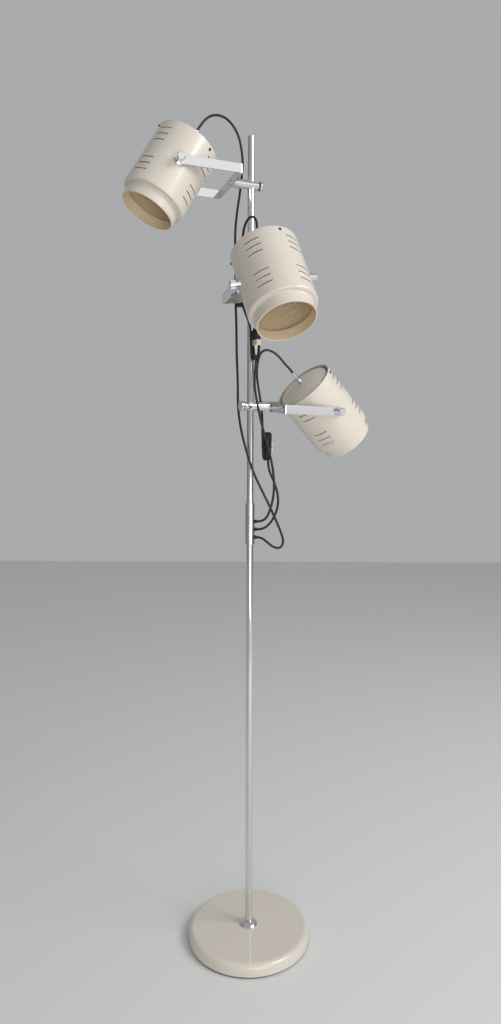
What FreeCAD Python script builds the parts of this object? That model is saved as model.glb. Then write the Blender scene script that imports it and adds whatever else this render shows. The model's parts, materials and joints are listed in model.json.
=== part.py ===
import FreeCAD, Part
import math
import os
import Sketcher
from FreeCAD import Placement, Rotation, Vector

# Three-spot floor lamp on a round disc base. Millimetres, +Z up.
# Origin: centre of the base's underside, on the pole's axis. The front is -Y.

SIZES = {
    # base
    "base_radius": 136.0, "base_top": 28.0, "base_shoulder": 12.0, "base_wall": 1.5,
    "base_gap": 4.0, "pad_radius": 122.0, "pad_hole": 45.0, "pad_height": 3.0,
    "weight_radius": 131.0, "weight_top": 20.0, "weight_recess_radius": 30.0,
    "weight_recess_top": 12.0, "lead_channel_width": 9.0, "lead_channel_height": 8.0,
    "terminal_length": 34.0, "terminal_width": 20.0, "terminal_height": 14.0,
    "terminal_place": 75.0, "terminal_pole_radius": 2.0, "terminal_pole_pitch": 10.0,
    "grommet_radius": 4.5, "grommet_lip": 1.6, "grommet_bore": 3.2, "grommet_height": 12.0,
    "flange_radius": 19.5, "flange_edge": 2.5, "flange_height": 9.0, "flange_neck": 10.5,
    # pole
    "pole_radius": 8.0, "pole_wall": 1.2, "pole_foot": 13.0, "pole_top": 1825.0,
    "pole_cap_height": 5.0, "pole_cap_shank": 14.0,
    "anchor_length": 50.0, "stud_radius": 5.0, "nut_across": 17.0, "nut_height": 7.0,
    "anchor_washer_radius": 12.0, "anchor_washer_height": 1.8,
    "seat_gap": 0.3, "running_gap": 0.05,
    # junction sleeve
    "sleeve_radius": 11.0, "sleeve_low": 895.0, "sleeve_high": 990.0, "sleeve_edge": 1.0,
    "bushing_radius": 4.2, "bushing_reach": 16.0, "bushing_shank": 3.2, "bushing_bore": 1.8,
    "bushing_turn": -15.0, "bushing_1_z": 947.5, "bushing_2_z": 929.5, "bushing_3_z": 911.5,
    # clamp
    "liner_wall": 0.7, "liner_height": 17.0, "clamp_radius": 10.25, "clamp_back": 17.0,
    "clamp_edge": 0.8, "spindle_radius": 3.0, "washer_radius": 9.3, "washer_height": 2.0,
    "knob_radius": 12.25, "knob_height": 6.5, "knob_edge": 1.2,
    # yoke
    "web_reach": 48.0, "yoke_wall": 3.0, "yoke_width": 20.0, "yoke_half": 79.0,
    "yoke_bend": 4.5, "pivot_reach": 189.0, "bolt_radius": 4.0, "bolt_depth": 9.0,
    "bolt_head_radius": 7.5, "bolt_head_height": 3.6, "bolt_key": 2.4,
    # shade
    "shade_radius": 72.0, "shade_wall": 1.5, "shade_rear": 78.0, "shade_front": 78.0,
    "collar_radius": 62.0, "collar_length": 27.0, "shoulder_round": 4.0, "rim_round": 1.3,
    "slot_width": 2.2, "slot_angle": 27.0, "slot_side": 36.5, "slot_pitch": 15.8,
    "slot_rear": -57.0, "slot_front": 21.0, "slot_cut": 3.0,
    "pivot_radius": 3.0, "pivot_knob_radius": 9.0, "pivot_knob_height": 14.0,
    "pivot_knob_edge": 1.5, "spacer_radius": 11.0, "pivot_stud_end": 63.0,
    "pivot_nut": 12.0, "pivot_nut_height": 4.0,
    # rear cap, gland and lamp holder
    "cap_radius": 64.0, "cap_round": 5.0, "cap_dome": 9.0, "cap_dome_radius": 170.0,
    "cap_skirt": 20.0, "cap_wall": 1.2, "cap_screw_radius": 2.0, "cap_screw_head": 3.2,
    "cap_screw_head_height": 1.8, "cap_screw_place": 70.0, "cap_tube_radius": 4.0,
    "gland_radius": 4.6, "gland_length": 33.0, "gland_nut_radius": 7.0,
    "gland_nut_height": 4.0, "gland_bore": 2.0, "nipple_radius": 5.0, "nipple_length": 16.0,
    "holder_radius": 19.0, "holder_length": 52.0, "holder_bore": 13.4, "holder_bore_depth": 30.0,
    "holder_rim": 2.0,
    # cords
    "cord_radius": 2.7, "hank_bearing": -55.0, "upper_hank_lean": 0.046, "lower_hank_lean": 0.054,
    "upper_hank_turn": 9.4, "upper_hank_run": 50.0, "lower_hank_turn": 7.6, "lower_hank_run": 46.0,
}

# Each head: height of its clamp, the clamp bar's bearing, the yoke's roll about the bar,
# the shade's tilt below the bar, and the turn of the cap screws round the shade.
HEADS = {
    "upper": {"height": 1715.0, "bearing": 200.7, "roll": 0.6, "tilt": 59.7, "screws": 6.0},
    "middle": {"height": 1450.0, "bearing": 284.2, "roll": 8.7, "tilt": 62.5, "screws": 15.0},
    "lower": {"height": 1210.0, "bearing": 24.3, "roll": 7.6, "tilt": 43.7, "screws": 199.0},
}

X_AXIS, Y_AXIS, Z_AXIS = Vector(1, 0, 0), Vector(0, 1, 0), Vector(0, 0, 1)
ALONG_X = Rotation(Y_AXIS, 90)
ALONG_Y = Rotation(X_AXIS, -90)

doc = FreeCAD.newDocument("FloorLamp")
sheet = doc.addObject("Spreadsheet::Sheet", "Sizes")


class Size:
    """A number of the sheet, or a sum of such numbers, with its expression."""

    def __init__(self, text, value):
        self.text = text
        self.value = value

    def joined(self, other, sign, value):
        return Size("(%s %s %s)" % (self.text, sign, other.text), value)

    def __add__(self, other):
        other = size(other)
        return self.joined(other, "+", self.value + other.value)

    def __radd__(self, other):
        return size(other) + self

    def __sub__(self, other):
        other = size(other)
        return self.joined(other, "-", self.value - other.value)

    def __rsub__(self, other):
        return size(other) - self

    def __mul__(self, other):
        other = size(other)
        return self.joined(other, "*", self.value * other.value)

    def __rmul__(self, other):
        return size(other) * self

    def __truediv__(self, other):
        other = size(other)
        return self.joined(other, "/", self.value / other.value)

    def __neg__(self):
        return size(0) - self


def size(number):
    """Wrap a plain number, so that it joins in an expression."""
    if isinstance(number, Size):
        return number
    return Size(repr(float(number)), float(number))


class Named:
    """The sheet's sizes, each under its own name."""


def fill_sheet():
    """Write each size to a cell with an alias."""
    rows = dict(SIZES)
    for head, values in HEADS.items():
        for key, number in values.items():
            rows["%s_%s" % (head, key)] = number
    named = Named()
    for row, (name, number) in enumerate(rows.items(), 1):
        sheet.set("A%d" % row, name)
        sheet.set("B%d" % row, repr(number))
        sheet.setAlias("B%d" % row, name)
        setattr(named, name, Size("Sizes." + name, number))
    doc.recompute()
    return named


S = fill_sheet()
parts = {}


def bind(thing, **sizes):
    """Tie properties of an object to sizes."""
    for prop, amount in sizes.items():
        thing.setExpression(prop, size(amount).text)


def place(thing, where, turn=Rotation()):
    """Put an object at a bound point, with a fixed turn."""
    thing.Placement = Placement(Vector(*(size(step).value for step in where)), turn)
    for axis, step in zip("xyz", where):
        thing.setExpression("Placement.Base." + axis, size(step).text)


def rod(radius, low, high, turn=Rotation(), off=(0, 0)):
    """A cylinder along Z, X or Y between two stations, off its axis by two distances."""
    thing = doc.addObject("Part::Cylinder", "rod")
    bind(thing, Radius=radius, Height=size(high) - low)
    if turn is ALONG_X:
        where = (low, off[0], off[1])
    elif turn is ALONG_Y:
        where = (off[0], low, off[1])
    else:
        where = (off[0], off[1], low)
    place(thing, where, turn)
    return thing


def block(low, high):
    """A box between two corners."""
    thing = doc.addObject("Part::Box", "block")
    spans = [size(b) - size(a) for a, b in zip(low, high)]
    bind(thing, Length=spans[0], Width=spans[1], Height=spans[2])
    place(thing, low)
    return thing


def fused(things):
    """One solid of several."""
    if len(things) == 1:
        return things[0]
    thing = doc.addObject("Part::MultiFuse", "fused")
    thing.Shapes = things
    return thing


def cut(base, tools):
    """A solid less its cuts."""
    thing = doc.addObject("Part::Cut", "cut")
    thing.Base = base
    thing.Tool = fused(tools)
    return thing


def group(things):
    """Several solids that stay apart in one node."""
    thing = doc.addObject("Part::Compound", "group")
    thing.Links = things
    return thing


def origin_plane(body, role):
    """One of a body's own planes."""
    return next(f for f in body.Origin.OriginFeatures if f.Role == role)


def outline(body, role, points, offset=Placement()):
    """A closed sketch through bound points. A point is (x, y), or (x, y, radius, side)
    where an arc of that radius arrives, bulging to the left (1) or right (-1)."""
    sketch = body.newObject("Sketcher::SketchObject", "outline")
    sketch.AttachmentSupport = (origin_plane(body, role), [""])
    sketch.MapMode = "FlatFace"
    sketch.AttachmentOffset = offset
    draw(sketch, points)
    return sketch


def draw(sketch, points):
    """Add one closed loop to a sketch, with every point and radius bound."""
    spots = [Vector(size(p[0]).value, size(p[1]).value, 0) for p in points]
    first = sketch.GeometryCount
    count = len(points)
    ends = []
    for i in range(count):
        here, there = spots[i], spots[(i + 1) % count]
        arrival = points[(i + 1) % count]
        if len(arrival) == 2:
            sketch.addGeometry(Part.LineSegment(here, there), False)
            ends.append((1, 2))
            continue
        radius, side = size(arrival[2]).value, arrival[3]
        chord = there - here
        half = chord.Length / 2
        normal = Vector(-chord.y, chord.x, 0).normalize()
        rise = math.sqrt(max(radius * radius - half * half, 0.0))
        centre = here + chord * 0.5 - normal * (side * rise)
        middle = centre + normal * (side * radius)
        sketch.addGeometry(Part.Arc(here, middle, there), False)
        ends.append((2, 1) if side > 0 else (1, 2))
    for i in range(count):
        geo, after = first + i, first + (i + 1) % count
        sketch.addConstraint(Sketcher.Constraint(
            "Coincident", geo, ends[i][1], after, ends[(i + 1) % count][0]))
        arrival = points[(i + 1) % count]
        for kind, step in (("DistanceX", arrival[0]), ("DistanceY", arrival[1])):
            step = size(step)
            number = sketch.addConstraint(Sketcher.Constraint(
                kind, -1, 1, geo, ends[i][1], step.value))
            sketch.setExpression("Constraints[%d]" % number, step.text)
        if len(arrival) == 4:
            radius = size(arrival[2])
            number = sketch.addConstraint(Sketcher.Constraint("Radius", geo, radius.value))
            sketch.setExpression("Constraints[%d]" % number, radius.text)


def turned(points, upright=False):
    """A body of revolution: about X, or about Z where it is upright."""
    body = doc.addObject("PartDesign::Body", "turned")
    sketch = outline(body, "XZ_Plane", points)
    solid = body.newObject("PartDesign::Revolution", "revolved")
    solid.Profile = sketch
    solid.ReferenceAxis = (sketch, ["V_Axis" if upright else "H_Axis"])
    solid.Angle = 360.0
    body.Tip = solid
    return body


def part(name, thing, placement=Placement()):
    """Name a sub-part and put it in its place."""
    holder = thing
    if placement != Placement() and thing.TypeId in ("Part::Cylinder", "Part::Box"):
        holder = group([thing])
    holder.Label = name
    if placement != Placement():
        holder.Placement = placement
    parts[name] = holder
    return holder


# ---------------------------------------------------------------- base and pole

def base():
    """Spun disc shell over a cast weight, on a pad, with the pole's foot through both."""
    inner = S.base_radius - S.base_wall
    roof = S.base_top - S.base_wall
    shell = turned([
        (S.pole_radius + S.seat_gap, roof),
        (inner - (S.base_shoulder - S.base_wall), roof),
        (inner, S.base_top - S.base_shoulder, S.base_shoulder - S.base_wall, 1),
        (inner, S.base_gap),
        (S.base_radius, S.base_gap),
        (S.base_radius, S.base_top - S.base_shoulder),
        (S.base_radius - S.base_shoulder, S.base_top, S.base_shoulder, -1),
        (S.pole_radius + S.seat_gap, S.base_top)], upright=True)
    lead_z = S.grommet_height
    lead_hole = rod(S.grommet_radius, S.base_radius - 3 * S.base_wall, S.base_radius + S.base_wall,
                    ALONG_Y, (0, lead_z))
    part("base_shell", cut(shell, [lead_hole]))

    weight = turned([
        (S.pole_radius + S.seat_gap, S.pole_foot),
        (S.stud_radius + S.seat_gap, S.pole_foot),
        (S.stud_radius + S.seat_gap, S.weight_recess_top),
        (S.weight_recess_radius, S.weight_recess_top),
        (S.weight_recess_radius, S.pad_height),
        (S.weight_radius, S.pad_height),
        (S.weight_radius, S.base_top - S.base_shoulder),
        (S.weight_radius - 2 * S.base_wall, S.weight_top),
        (S.flange_radius + S.base_wall, S.weight_top),
        (S.flange_radius, roof),
        (S.pole_radius + S.seat_gap, roof)], upright=True)
    half = S.lead_channel_width / 2
    channel = block((-half, 0, lead_z - S.lead_channel_height / 2),
                    (half, S.base_radius, S.weight_top + S.base_wall))
    pocket = block((-S.terminal_length / 2 - S.seat_gap,
                    S.terminal_place - S.terminal_width / 2 - S.seat_gap,
                    lead_z - S.terminal_height / 2),
                   (S.terminal_length / 2 + S.seat_gap,
                    S.terminal_place + S.terminal_width / 2 + S.seat_gap,
                    S.weight_top + S.base_wall))
    core = rod(S.pole_radius + S.seat_gap + S.base_wall * 2, S.pole_foot, S.base_top)
    part("base_weight", cut(weight, [cut(channel, [core]), pocket]))

    terminal = block((-S.terminal_length / 2, S.terminal_place - S.terminal_width / 2,
                      lead_z - S.terminal_height / 2),
                     (S.terminal_length / 2, S.terminal_place + S.terminal_width / 2,
                      lead_z + S.terminal_height / 2))
    wells = [rod(S.terminal_pole_radius, lead_z, lead_z + S.terminal_height, Rotation(),
                 (S.terminal_pole_pitch * step, S.terminal_place)) for step in (-1, 0, 1)]
    part("terminal_block", cut(terminal, wells))

    pad = cut(rod(S.pad_radius, 0, S.pad_height), [rod(S.pad_hole, -1, S.pad_height + 1)])
    part("base_pad", pad)

    grommet = turned([
        (inner - S.grommet_lip - S.seat_gap, S.grommet_bore),
        (S.base_radius + S.grommet_lip, S.grommet_bore),
        (S.base_radius + S.grommet_lip, S.grommet_radius + S.grommet_lip - 0.6),
        (S.base_radius + S.seat_gap, S.grommet_radius + S.grommet_lip),
        (S.base_radius + S.seat_gap, S.grommet_radius - S.running_gap),
        (inner - S.seat_gap, S.grommet_radius - S.running_gap),
        (inner - S.seat_gap, S.grommet_radius + S.grommet_lip - 0.6),
        (inner - S.grommet_lip - S.seat_gap, S.grommet_radius)])
    part("lead_grommet", grommet,
         Placement(Vector(0, 0, S.grommet_height.value), Rotation(Z_AXIS, 90)))

    bore = S.pole_radius + S.running_gap
    flange = turned([
        (bore, S.base_top),
        (S.flange_radius, S.base_top),
        (S.flange_radius, S.base_top + S.flange_edge),
        (S.flange_neck, S.base_top + S.flange_height, S.flange_radius, -1),
        (bore, S.base_top + S.flange_height)], upright=True)
    part("foot_flange", flange)


def pole():
    """Chromed tube, its cap and the stud that draws it down into the weight."""
    inner = S.pole_radius - S.pole_wall
    tube = cut(rod(S.pole_radius, S.pole_foot, S.pole_top),
               [rod(inner, S.pole_foot - 1, S.pole_top + 1)])
    holes = [sleeve_bore(S.bushing_shank, height) for height in bushing_heights()]
    part("pole", cut(tube, holes))

    plug = inner - S.running_gap
    cap = turned([
        (0, S.pole_top - S.pole_cap_shank),
        (plug, S.pole_top - S.pole_cap_shank),
        (plug, S.pole_top),
        (S.pole_radius, S.pole_top),
        (S.pole_radius, S.pole_top + S.pole_cap_height / 4),
        (0, S.pole_top + S.pole_cap_height,
         (S.pole_radius * S.pole_radius) / (S.pole_cap_height * 1.5) + S.pole_cap_height * 0.375,
         -1)], upright=True)
    part("pole_cap", cap)

    stud_low = S.weight_recess_top - S.anchor_washer_height - S.nut_height
    anchor = fused([rod(plug, S.pole_foot + S.seat_gap, S.pole_foot + S.anchor_length),
                    rod(S.stud_radius, stud_low, S.pole_foot + S.seat_gap)])
    washer = cut(rod(S.anchor_washer_radius, S.weight_recess_top - S.anchor_washer_height,
                     S.weight_recess_top),
                 [rod(S.stud_radius + S.running_gap, S.pad_height, S.weight_recess_top + 1)])
    nut = doc.addObject("Part::Prism", "nut")
    nut.Polygon = 6
    bind(nut, Circumradius=S.nut_across / 1.732, Height=S.nut_height)
    place(nut, (0, 0, stud_low))
    nut = cut(nut, [rod(S.stud_radius + S.running_gap, 0, S.weight_recess_top)])
    part("pole_anchor", group([anchor, washer, nut]))


def bushing_heights():
    return (S.bushing_1_z, S.bushing_2_z, S.bushing_3_z)


def sleeve_bore(radius, height):
    """A bore from the pole's inside out to the side that the cords come in on."""
    thing = rod(radius, S.pole_radius / 2, S.bushing_reach, ALONG_X)
    thing.setExpression("Placement.Base.x", None)
    thing.setExpression("Placement.Base.y", None)
    thing.setExpression("Placement.Base.z", None)
    turn = Rotation(Z_AXIS, S.bushing_turn.value)
    start = turn.multVec(Vector(S.pole_radius.value / 2, 0, 0))
    thing.Placement = Placement(start + Vector(0, 0, height.value), turn * ALONG_X)
    return thing


def sleeve():
    """Sleeve round the pole that takes the three cords in through bushings."""
    bore = S.pole_radius + S.running_gap
    body = turned([
        (bore, S.sleeve_low),
        (S.sleeve_radius - S.sleeve_edge, S.sleeve_low),
        (S.sleeve_radius, S.sleeve_low + S.sleeve_edge),
        (S.sleeve_radius, S.sleeve_high - S.sleeve_edge),
        (S.sleeve_radius - S.sleeve_edge, S.sleeve_high),
        (bore, S.sleeve_high)], upright=True)
    holes = [sleeve_bore(S.bushing_shank, height) for height in bushing_heights()]
    part("junction_sleeve", cut(body, holes))

    bushings = []
    for height in bushing_heights():
        flat = S.sleeve_radius + S.seat_gap
        ring = turned([
            (bore + S.seat_gap, S.bushing_bore),
            (S.bushing_reach, S.bushing_bore),
            (S.bushing_reach, S.bushing_radius - S.sleeve_edge),
            (S.bushing_reach - S.sleeve_edge, S.bushing_radius),
            (flat, S.bushing_radius),
            (flat, S.bushing_shank - S.running_gap),
            (bore + S.seat_gap, S.bushing_shank - S.running_gap)])
        ring.Placement = Placement(Vector(0, 0, height.value),
                                   Rotation(Z_AXIS, S.bushing_turn.value))
        bushings.append(ring)
    part("sleeve_bushings", group(bushings))


# ---------------------------------------------------------------- one head

def head_frames(head):
    """The placements of a head's clamp, yoke and shade. In each, X runs away from the
    pole: along the clamp bar, along the yoke's arms, and out of the shade's mouth."""
    height = getattr(S, head + "_height").value
    bearing = getattr(S, head + "_bearing").value
    roll = getattr(S, head + "_roll").value
    tilt = getattr(S, head + "_tilt").value
    clamp = Placement(Vector(0, 0, height), Rotation(Z_AXIS, bearing))
    yoke = clamp * Placement(Vector(), Rotation(X_AXIS, roll))
    shade = yoke * Placement(Vector(S.pivot_reach.value, 0, 0), Rotation(Y_AXIS, tilt))
    return clamp, yoke, shade


def clamp(head, frame):
    """Cross-bored bar that grips the pole through a liner, with its tightening knob."""
    bar_bore = S.pole_radius + S.running_gap + S.liner_wall + S.running_gap
    liner = cut(rod(bar_bore - S.running_gap, -S.liner_height / 2, S.liner_height / 2),
                [rod(S.pole_radius + S.running_gap, -S.liner_height, S.liner_height)])
    part(head + "_clamp_liner", liner, frame)

    front = S.web_reach - S.seat_gap
    bar = turned([
        (-S.clamp_back, 0),
        (-S.clamp_back, S.clamp_radius - S.clamp_edge),
        (-S.clamp_back + S.clamp_edge, S.clamp_radius),
        (front - S.clamp_edge, S.clamp_radius),
        (front, S.clamp_radius - S.clamp_edge),
        (front, 0)])
    cross = rod(bar_bore, -S.clamp_radius * 2, S.clamp_radius * 2)
    back = rod(S.spindle_radius + S.running_gap, -S.clamp_back - 1, 0, ALONG_X)
    tapped = rod(S.bolt_radius + S.running_gap, front - S.bolt_depth, front + 1, ALONG_X)
    part(head + "_clamp_bar", cut(bar, [cross, back, tapped]), frame)

    washer_out = -S.clamp_back - S.washer_height
    washer = cut(rod(S.washer_radius, washer_out, -S.clamp_back, ALONG_X),
                 [rod(S.spindle_radius + S.running_gap, washer_out - 1, -S.clamp_back + 1, ALONG_X)])
    part(head + "_clamp_washer", washer, frame)

    knob_in = washer_out - S.seat_gap
    knob = turned([
        (knob_in - S.knob_height, 0),
        (knob_in - S.knob_height, S.knob_radius - S.knob_edge),
        (knob_in - S.knob_height + S.knob_edge, S.knob_radius),
        (knob_in - S.knob_edge / 2, S.knob_radius),
        (knob_in, S.knob_radius - S.knob_edge / 2),
        (knob_in, S.spindle_radius),
        (-bar_bore - S.seat_gap, S.spindle_radius),
        (-bar_bore - S.seat_gap, 0)])
    part(head + "_clamp_knob", knob, frame)


def yoke(head, frame):
    """Flat bar bent to a U, bolted through its web, with rounded ends at the pivots."""
    body = doc.addObject("PartDesign::Body", "bar")
    end = S.pivot_reach + S.yoke_width / 2
    out, bend = S.yoke_half, S.yoke_bend
    inn, tight = S.yoke_half - S.yoke_wall, S.yoke_bend - S.yoke_wall
    web_in = S.web_reach + S.yoke_wall
    sketch = outline(body, "XY_Plane", [
        (end, -out),
        (end, -inn),
        (web_in + tight, -inn),
        (web_in, -inn + tight, tight, 1),
        (web_in, inn - tight),
        (web_in + tight, inn, tight, 1),
        (end, inn),
        (end, out),
        (S.web_reach + bend, out),
        (S.web_reach, out - bend, bend, -1),
        (S.web_reach, -out + bend),
        (S.web_reach + bend, -out, bend, -1)])
    pad = body.newObject("PartDesign::Pad", "bent")
    pad.Profile = sketch
    pad.Midplane = True
    pad.setExpression("Length", S.yoke_width.text)
    body.Tip = pad
    reach = block((S.web_reach - 1, -S.yoke_half - 1, -S.yoke_width),
                  (S.pivot_reach, S.yoke_half + 1, S.yoke_width))
    nose = rod(S.yoke_width / 2, -S.yoke_half - 1, S.yoke_half + 1, ALONG_Y, (S.pivot_reach, 0))
    shaped = doc.addObject("Part::Common", "shaped")
    shaped.Base = body
    shaped.Tool = fused([reach, nose])
    pivot = rod(S.pivot_radius + S.running_gap, -S.yoke_half - 1, S.yoke_half + 1,
                ALONG_Y, (S.pivot_reach, 0))
    bolt_hole = rod(S.bolt_radius + S.running_gap, S.web_reach - 1, web_in + 1, ALONG_X)
    part(head + "_yoke", cut(shaped, [pivot, bolt_hole]), frame)

    head_in = web_in + S.seat_gap
    bolt = turned([
        (S.web_reach - S.bolt_depth + S.seat_gap, 0),
        (S.web_reach - S.bolt_depth + S.seat_gap, S.bolt_radius),
        (head_in, S.bolt_radius),
        (head_in, S.bolt_head_radius),
        (head_in + S.bolt_head_height / 3, S.bolt_head_radius),
        (head_in + S.bolt_head_height, S.bolt_key * 1.6),
        (head_in + S.bolt_head_height, S.bolt_key),
        (head_in + S.bolt_head_height / 2, S.bolt_key),
        (head_in + S.bolt_head_height / 2, 0)])
    return bolt


def pivots(head, yoke_frame, shade_frame):
    """Two thumb knobs through the arms, each with a spacer and a nut on the shade."""
    stud_in = S.pivot_stud_end
    seat = S.yoke_half + S.seat_gap
    tip = seat + S.pivot_knob_height
    at_pivot = yoke_frame * Placement(Vector(S.pivot_reach.value, 0, 0), Rotation())
    for side, turn in (("left", 90), ("right", -90)):
        knob = turned([
            (stud_in, 0),
            (stud_in, S.pivot_radius),
            (seat, S.pivot_radius),
            (seat, S.pivot_knob_radius),
            (tip - S.pivot_knob_edge, S.pivot_knob_radius),
            (tip, S.pivot_knob_radius - S.pivot_knob_edge),
            (tip, 0)])
        part("%s_pivot_knob_%s" % (head, side), knob,
             at_pivot * Placement(Vector(), Rotation(Z_AXIS, turn)))

    arm_in = S.yoke_half - S.yoke_wall - S.seat_gap
    skin = S.shade_radius + S.seat_gap / 3
    wall_in = S.shade_radius - S.shade_wall
    saddle = rod(skin, -S.shade_rear, S.shade_front, ALONG_X)
    fittings = []
    for sign in (1, -1):
        low, high = (S.shade_radius - 3, arm_in) if sign > 0 else (-arm_in, 3 - S.shade_radius)
        ring = rod(S.spacer_radius, low, high, ALONG_Y)
        hole = rod(S.pivot_radius + S.running_gap, low - 1, high + 1, ALONG_Y)
        fittings.append(cut(ring, [hole, saddle]))
        half = S.pivot_nut / 2
        top = wall_in - S.seat_gap * 1.5
        low, high = (top - S.pivot_nut_height, top) if sign > 0 else (-top, S.pivot_nut_height - top)
        nut = block((-half, low, -half), (half, high, half))
        hole = rod(S.pivot_radius + S.running_gap, low - 1, high + 1, ALONG_Y)
        fittings.append(cut(nut, [hole]))
    part(head + "_pivot_fittings", group(fittings), shade_frame)


def shade(head, frame):
    """Spun shell, stepped to a narrower collar, with four columns of curved vent slots."""
    outer, inner = S.shade_radius, S.shade_radius - S.shade_wall
    neck, throat = S.collar_radius, S.collar_radius - S.shade_wall
    mouth = S.shade_front + S.collar_length
    big, small = S.shoulder_round, S.shoulder_round - S.shade_wall
    body = doc.addObject("PartDesign::Body", "shell")
    sketch = outline(body, "XZ_Plane", [
        (-S.shade_rear, inner),
        (-S.shade_rear, outer),
        (S.shade_front - big, outer),
        (S.shade_front, outer - big, big, 1),
        (S.shade_front, neck + small),
        (S.shade_front + small, neck, small, -1),
        (mouth - S.rim_round, neck),
        (mouth - S.rim_round, throat - S.rim_round, S.rim_round + S.shade_wall / 2, 1),
        (mouth - S.rim_round * 2, throat),
        (S.shade_front - S.shade_wall + big, throat),
        (S.shade_front - S.shade_wall, throat + big, big, 1),
        (S.shade_front - S.shade_wall, inner - small),
        (S.shade_front - S.shade_wall - small, inner, small, -1)])
    shell = body.newObject("PartDesign::Revolution", "shell")
    shell.Profile = sketch
    shell.ReferenceAxis = (sketch, ["H_Axis"])
    shell.Angle = 360.0
    body.Tip = shell
    doc.recompute()
    for column in (1, -1, 2, -2):
        angle = S.slot_side if abs(column) == 1 else 180 - S.slot_side
        angle = angle * (1 if column > 0 else -1)
        turn = Placement(Vector(), Rotation(X_AXIS, angle.value))
        slots = body.newObject("Sketcher::SketchObject", "slots")
        slots.AttachmentSupport = (origin_plane(body, "XZ_Plane"), [""])
        slots.MapMode = "FlatFace"
        slots.AttachmentOffset = turn
        for start in (S.slot_rear, S.slot_front):
            for step in range(3):
                low = start + S.slot_pitch * step - S.slot_width / 2
                high = low + S.slot_width
                deep, far = inner - S.slot_cut, outer + S.slot_cut
                draw(slots, [(low, deep), (high, deep), (high, far), (low, far)])
        groove = body.newObject("PartDesign::Groove", "vents")
        groove.Profile = slots
        groove.ReferenceAxis = (slots, ["H_Axis"])
        groove.Midplane = True
        groove.setExpression("Angle", S.slot_angle.text)
        body.Tip = groove
    pivot = rod(S.pivot_radius + S.running_gap, -outer - 1, outer + 1, ALONG_Y)
    holes = [pivot] + [screw_bore(head, S.cap_screw_radius + S.running_gap, step)
                       for step in range(3)]
    part(head + "_shade", cut(body, holes), frame)


def screw_place(head, step, start):
    """The placement of a cap screw: its own Z runs out from the shade's axis."""
    angle = getattr(S, head + "_screws").value + 120.0 * step
    out = Rotation(X_AXIS, -angle)
    spot = Vector(-S.cap_screw_place.value, 0, 0) + out.multVec(Vector(0, 0, start))
    return Placement(spot, out)


def screw_bore(head, radius, step):
    """The hole of a cap screw, from inside the cap's skirt to outside the shade."""
    thing = doc.addObject("Part::Cylinder", "bore")
    bind(thing, Radius=radius, Height=S.shade_radius - S.cap_radius + 20)
    thing.Placement = screw_place(head, step, S.cap_radius.value - 10)
    return thing


def rear_cap(head, frame):
    """Domed lid inside the shade's open rear, held off the wall by three screws."""
    rim, wall = -S.shade_rear, S.cap_wall
    skirt_end = rim + S.cap_skirt
    inner_round = S.cap_round - wall
    flat = S.cap_radius - S.cap_round
    bore = S.nipple_radius + S.running_gap
    cap = turned([
        (rim - S.cap_dome, bore, S.cap_dome_radius, -1),
        (rim - S.cap_dome + wall, bore),
        (rim + wall, flat, S.cap_dome_radius - wall, 1),
        (rim + S.cap_round, S.cap_radius - wall, inner_round, 1),
        (skirt_end, S.cap_radius - wall),
        (skirt_end, S.cap_radius),
        (rim + S.cap_round, S.cap_radius),
        (rim, flat, S.cap_round, -1)])
    bores = [screw_bore(head, S.cap_screw_radius + S.running_gap, step) for step in range(3)]
    part(head + "_rear_cap", cut(cap, bores), frame)

    screws = []
    for step in range(3):
        low = S.cap_radius.value - S.cap_wall.value - 4.0
        seat = S.shade_radius.value + S.seat_gap.value
        shank = doc.addObject("Part::Cylinder", "shank")
        bind(shank, Radius=S.cap_screw_radius, Height=S.shade_radius + S.seat_gap
             - (S.cap_radius - S.cap_wall - 4.0))
        shank.Placement = screw_place(head, step, low)
        dome = doc.addObject("Part::Cone", "dome")
        bind(dome, Radius1=S.cap_screw_head, Radius2=S.cap_screw_head * 0.6,
             Height=S.cap_screw_head_height)
        dome.Placement = screw_place(head, step, seat)
        tube = doc.addObject("Part::Cylinder", "tube")
        tube_high = S.shade_radius - S.shade_wall - 2 * S.seat_gap
        bind(tube, Radius=S.cap_tube_radius, Height=tube_high - S.cap_radius - S.seat_gap)
        tube.Placement = screw_place(head, step, S.cap_radius.value + S.seat_gap.value)
        screws.append(fused([shank, dome, tube]))
    part(head + "_cap_screws", group(screws), frame)


def gland_and_holder(head, frame):
    """Chromed cord gland through the cap's centre, and the lamp holder that it carries."""
    apex = -S.shade_rear - S.cap_dome
    end = apex - S.gland_length
    nut_end = apex - S.gland_nut_height
    holder_rear = apex + S.nipple_length
    gland = turned([
        (end, S.gland_bore),
        (end, S.gland_radius - 0.8),
        (end + 0.8, S.gland_radius),
        (nut_end, S.gland_radius),
        (nut_end, S.gland_nut_radius - 1),
        (nut_end + 1, S.gland_nut_radius),
        (apex - S.seat_gap, S.gland_nut_radius),
        (apex - S.seat_gap, S.nipple_radius),
        (holder_rear - S.seat_gap, S.nipple_radius),
        (holder_rear - S.seat_gap, S.gland_bore)])
    part(head + "_cord_gland", gland, frame)

    front = holder_rear + S.holder_length
    holder = turned([
        (holder_rear, 0),
        (holder_rear, S.holder_radius * 0.55),
        (holder_rear + S.holder_length * 0.22, S.holder_radius * 0.82),
        (holder_rear + S.holder_length * 0.3, S.holder_radius),
        (front - S.holder_rim, S.holder_radius),
        (front - S.holder_rim, S.holder_radius + S.holder_rim),
        (front, S.holder_radius + S.holder_rim),
        (front, S.holder_bore),
        (front - S.holder_bore_depth, S.holder_bore),
        (front - S.holder_bore_depth, 0)])
    part(head + "_lamp_holder", holder, frame)


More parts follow.
